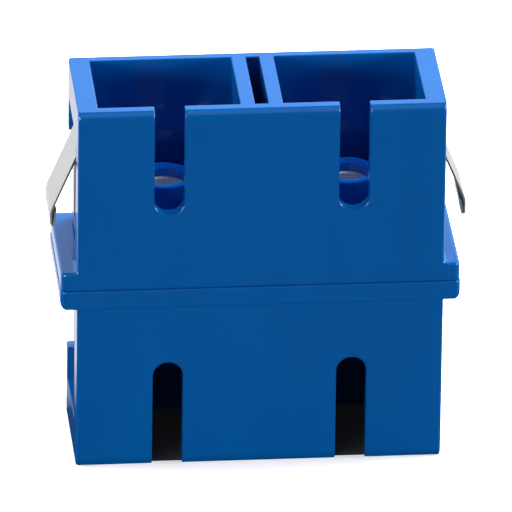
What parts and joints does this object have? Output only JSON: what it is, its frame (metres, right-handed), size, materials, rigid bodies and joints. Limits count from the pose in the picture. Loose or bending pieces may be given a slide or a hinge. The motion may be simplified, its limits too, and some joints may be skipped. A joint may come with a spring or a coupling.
{
  "type": "sc duplex fibre adapter",
  "caption": "Duplex SC fibre adapter: keyed ports at both ends of a flanged body, ceramic alignment sleeves, latch hooks and a sprung sheet-metal panel clip.",
  "frame": {"origin": "centre of the lower port end, on the surface that it stands on", "axes": "+Z along the fibre axes towards the end with the clip, +X from the left port to the right port, keyways on the -Y side. The flange reaches further behind the body than in front of it, so the ports' own axes lie at Y = -0.25 mm"},
  "size_m": [0.0286, 0.0098, 0.027],
  "materials": {
    "housing": "moulded, semi-gloss blue",
    "insert": "moulded, semi-gloss blue",
    "ceramic": "polished white zirconia",
    "clip": "rolled stainless sheet, satin"
  },
  "bodies": {
    "root": {"upper_housing": "housing", "lower_housing": "housing", "spring_clip": "clip", "upper_latch_insert_left": "insert", "upper_latch_insert_right": "insert", "lower_latch_insert_left": "insert", "lower_latch_insert_right": "insert", "ceramic_sleeve_left": "ceramic", "ceramic_sleeve_right": "ceramic"}
  },
  "joints": []
}
